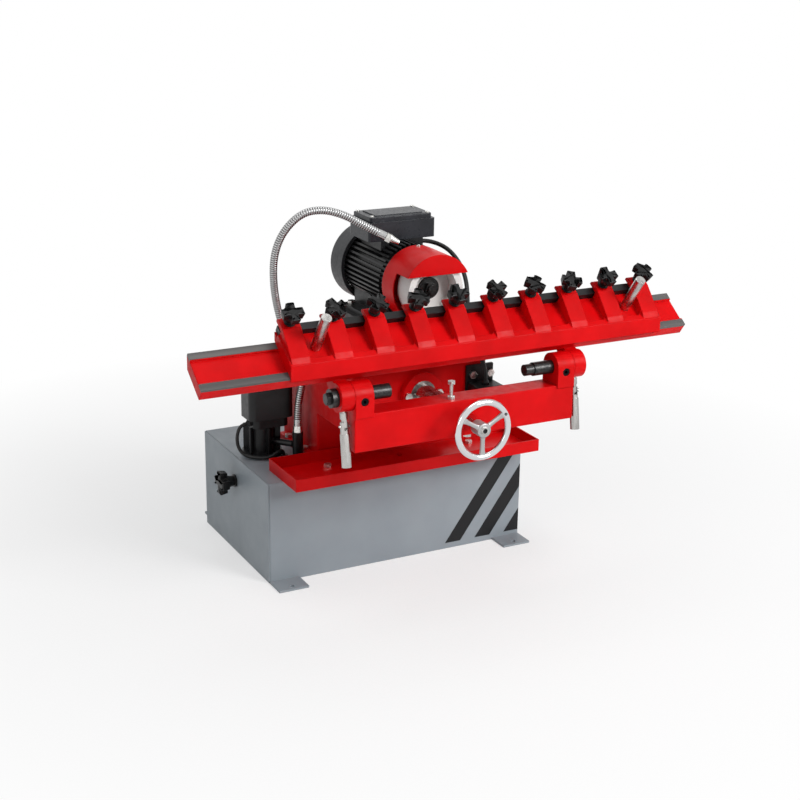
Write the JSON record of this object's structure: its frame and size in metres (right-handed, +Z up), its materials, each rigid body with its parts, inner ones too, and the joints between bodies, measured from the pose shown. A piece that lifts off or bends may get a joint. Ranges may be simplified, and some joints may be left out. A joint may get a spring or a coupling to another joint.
{
  "type": "planer knife grinder",
  "caption": "Bench grinder for long planer knives: motor with cup wheel on a column, tilting guide beam with sliding knife carriage, handwheel infeed and coolant pump.",
  "frame": {"origin": "middle of the cabinet's footprint, on the plane that the cabinet stands on", "axes": "+X along the guide beam and the carriage's travel, to the operator's right; +Y from the operator towards the motor; +Z up"},
  "size_m": [0.932, 0.671, 0.6864],
  "materials": {
    "red_paint": "gloss",
    "red_cast_iron": "gloss red paint",
    "blue_grey_paint": "semi-gloss",
    "black_paint": "semi-gloss",
    "black_alloy": "black paint",
    "dark_grey_paint": "satin",
    "ground_steel": "ground",
    "dark_steel": "satin",
    "zinc_bolt": "zinc plated",
    "polished_steel": "polished",
    "bronze": "satin",
    "black_plastic": "matte",
    "tank_plastic": "matte",
    "green_button": "gloss",
    "red_button": "gloss",
    "abrasive": "rough",
    "cable_rubber": "matte"
  },
  "bodies": {
    "base": {"base_cabinet": "blue_grey_paint", "side_panel": "blue_grey_paint", "coolant_tank": "tank_plastic", "drip_tray": "red_paint", "column": "red_cast_iron", "ram_bush_and_feed_nut": "bronze", "motor_plate": "black_paint", "motor_housing": "black_alloy", "end_shields": "black_alloy", "motor_bearings": "ground_steel", "fan_cowl": "dark_grey_paint", "terminal_box": "black_alloy", "terminal_lid": "black_alloy", "wheel_guard": "red_paint", "switch_bracket": "black_paint", "switch_box": "black_plastic", "pump_body": "black_alloy", "pump_case": "black_paint", "coolant_valve": "polished_steel", "hose_fittings": "polished_steel", "coolant_hose": "polished_steel", "motor_cable": "cable_rubber", "pump_cable": "cable_rubber", "cable_glands": "black_plastic", "hex_bolts": "zinc_bolt", "small_screws": "zinc_bolt"},
    "spindle": {"motor_shaft": "ground_steel", "motor_fan": "black_plastic", "wheel_flanges": "dark_steel", "cup_wheel": "abrasive"},
    "pump_rotor": {"pump_rotor": "ground_steel"},
    "start_button": {"start_button": "green_button"},
    "stop_button": {"stop_button": "red_button"},
    "panel_knob": {"panel_knob": "black_plastic"},
    "infeed": {"front_beam": "red_cast_iron", "ram": "ground_steel", "pivot_pins": "ground_steel", "pivot_collars": "black_paint", "beam_screws": "zinc_bolt"},
    "handwheel": {"handwheel": "polished_steel", "feed_screw": "ground_steel"},
    "table": {"guide_beam": "red_cast_iron", "guide_strips": "dark_steel"},
    "lever_stud_left": {"lever_stud_left": "ground_steel"},
    "lever_stud_right": {"lever_stud_right": "ground_steel"},
    "lever_handle_left": {"lever_handle_left": "ground_steel"},
    "lever_handle_right": {"lever_handle_right": "ground_steel"},
    "carriage": {"carriage": "red_cast_iron", "clamp_bar": "black_paint", "carriage_handles": "ground_steel"},
    "clamp_knob_01": {"clamp_knob_01": "black_plastic"},
    "clamp_knob_02": {"clamp_knob_02": "black_plastic"},
    "clamp_knob_03": {"clamp_knob_03": "black_plastic"},
    "clamp_knob_04": {"clamp_knob_04": "black_plastic"},
    "clamp_knob_05": {"clamp_knob_05": "black_plastic"},
    "clamp_knob_06": {"clamp_knob_06": "black_plastic"},
    "clamp_knob_07": {"clamp_knob_07": "black_plastic"},
    "clamp_knob_08": {"clamp_knob_08": "black_plastic"},
    "clamp_knob_09": {"clamp_knob_09": "black_plastic"},
    "clamp_knob_10": {"clamp_knob_10": "black_plastic"}
  },
  "joints": [
    {"name": "handwheel_turn", "type": "hinge", "parent": "infeed", "child": "handwheel", "pos_m": [0, -0.457, 0.353], "axis": [0, 1, 0], "range_deg": [-5760.5, 1440.5]},
    {"name": "infeed_slide", "type": "slide", "parent": "base", "child": "infeed", "axis": [0, 1, 0], "range_m": [-0.048, 0.012]},
    {"name": "table_tilt", "type": "hinge", "parent": "infeed", "child": "table", "pos_m": [0, -0.383, 0.42], "axis": [1, 0, 0], "range_deg": [-6, 24]},
    {"name": "carriage_slide", "type": "slide", "parent": "table", "child": "carriage", "axis": [1, 0, 0], "range_m": [-0.4, 0.325]},
    {"name": "lever_left_turn", "type": "hinge", "parent": "table", "child": "lever_stud_left", "pos_m": [-0.22415, -0.383, 0.42], "axis": [0, -0.1392, -0.9903], "range_deg": [0, 90]},
    {"name": "lever_right_turn", "type": "hinge", "parent": "table", "child": "lever_stud_right", "pos_m": [0.22415, -0.383, 0.42], "axis": [0, 0.1392, 0.9903], "range_deg": [0, 90]},
    {"name": "lever_left_fold", "type": "hinge", "parent": "lever_stud_left", "child": "lever_handle_left", "pos_m": [-0.22415, -0.38982, 0.37148], "axis": [-1, 0, 0], "range_deg": [0, 95]},
    {"name": "lever_right_fold", "type": "hinge", "parent": "lever_stud_right", "child": "lever_handle_right", "pos_m": [0.22415, -0.38982, 0.37148], "axis": [-1, 0, 0], "range_deg": [0, 95]},
    {"name": "clamp_knob_01_turn", "type": "hinge", "parent": "carriage", "child": "clamp_knob_01", "pos_m": [-0.2965, -0.34374, 0.5531], "axis": [0, -0.5878, 0.809], "range_deg": [0, 1080]},
    {"name": "clamp_knob_02_turn", "type": "hinge", "parent": "carriage", "child": "clamp_knob_02", "pos_m": [-0.2205, -0.34374, 0.5531], "axis": [0, -0.5878, 0.809], "range_deg": [0, 1080]},
    {"name": "clamp_knob_03_turn", "type": "hinge", "parent": "carriage", "child": "clamp_knob_03", "pos_m": [-0.1445, -0.34374, 0.5531], "axis": [0, -0.5878, 0.809], "range_deg": [0, 1080]},
    {"name": "clamp_knob_04_turn", "type": "hinge", "parent": "carriage", "child": "clamp_knob_04", "pos_m": [-0.0685, -0.34374, 0.5531], "axis": [0, -0.5878, 0.809], "range_deg": [0, 1080]},
    {"name": "clamp_knob_05_turn", "type": "hinge", "parent": "carriage", "child": "clamp_knob_05", "pos_m": [0.0075, -0.34374, 0.5531], "axis": [0, -0.5878, 0.809], "range_deg": [0, 1080]},
    {"name": "clamp_knob_06_turn", "type": "hinge", "parent": "carriage", "child": "clamp_knob_06", "pos_m": [0.0835, -0.34374, 0.5531], "axis": [0, -0.5878, 0.809], "range_deg": [0, 1080]},
    {"name": "clamp_knob_07_turn", "type": "hinge", "parent": "carriage", "child": "clamp_knob_07", "pos_m": [0.1595, -0.34374, 0.5531], "axis": [0, -0.5878, 0.809], "range_deg": [0, 1080]},
    {"name": "clamp_knob_08_turn", "type": "hinge", "parent": "carriage", "child": "clamp_knob_08", "pos_m": [0.2355, -0.34374, 0.5531], "axis": [0, -0.5878, 0.809], "range_deg": [0, 1080]},
    {"name": "clamp_knob_09_turn", "type": "hinge", "parent": "carriage", "child": "clamp_knob_09", "pos_m": [0.3115, -0.34374, 0.5531], "axis": [0, -0.5878, 0.809], "range_deg": [0, 1080]},
    {"name": "clamp_knob_10_turn", "type": "hinge", "parent": "carriage", "child": "clamp_knob_10", "pos_m": [0.3875, -0.34374, 0.5531], "axis": [0, -0.5878, 0.809], "range_deg": [0, 1080]},
    {"name": "panel_knob_turn", "type": "hinge", "parent": "base", "child": "panel_knob", "pos_m": [-0.265, 0, 0.146], "axis": [-1, 0, 0], "range_deg": [0, 1080]},
    {"name": "spindle_turn", "type": "hinge", "parent": "base", "child": "spindle", "pos_m": [0, -0.26, 0.551], "axis": [0, -1, 0], "continuous": true},
    {"name": "pump_turn", "type": "hinge", "parent": "base", "child": "pump_rotor", "pos_m": [-0.211, -0.003, 0.1], "axis": [0, 0, 1], "continuous": true},
    {"name": "start_press", "type": "slide", "parent": "base", "child": "start_button", "axis": [-1, 0, 0], "range_m": [0, 0.003], "stiffness_N_per_m": 400, "springref_m": -0.001},
    {"name": "stop_press", "type": "slide", "parent": "base", "child": "stop_button", "axis": [-1, 0, 0], "range_m": [0, 0.003], "stiffness_N_per_m": 400, "springref_m": -0.001}
  ],
  "couplings": [
    {"joint": "handwheel_turn", "follows": "infeed_slide", "rad_per_m": 2094.4}
  ]
}
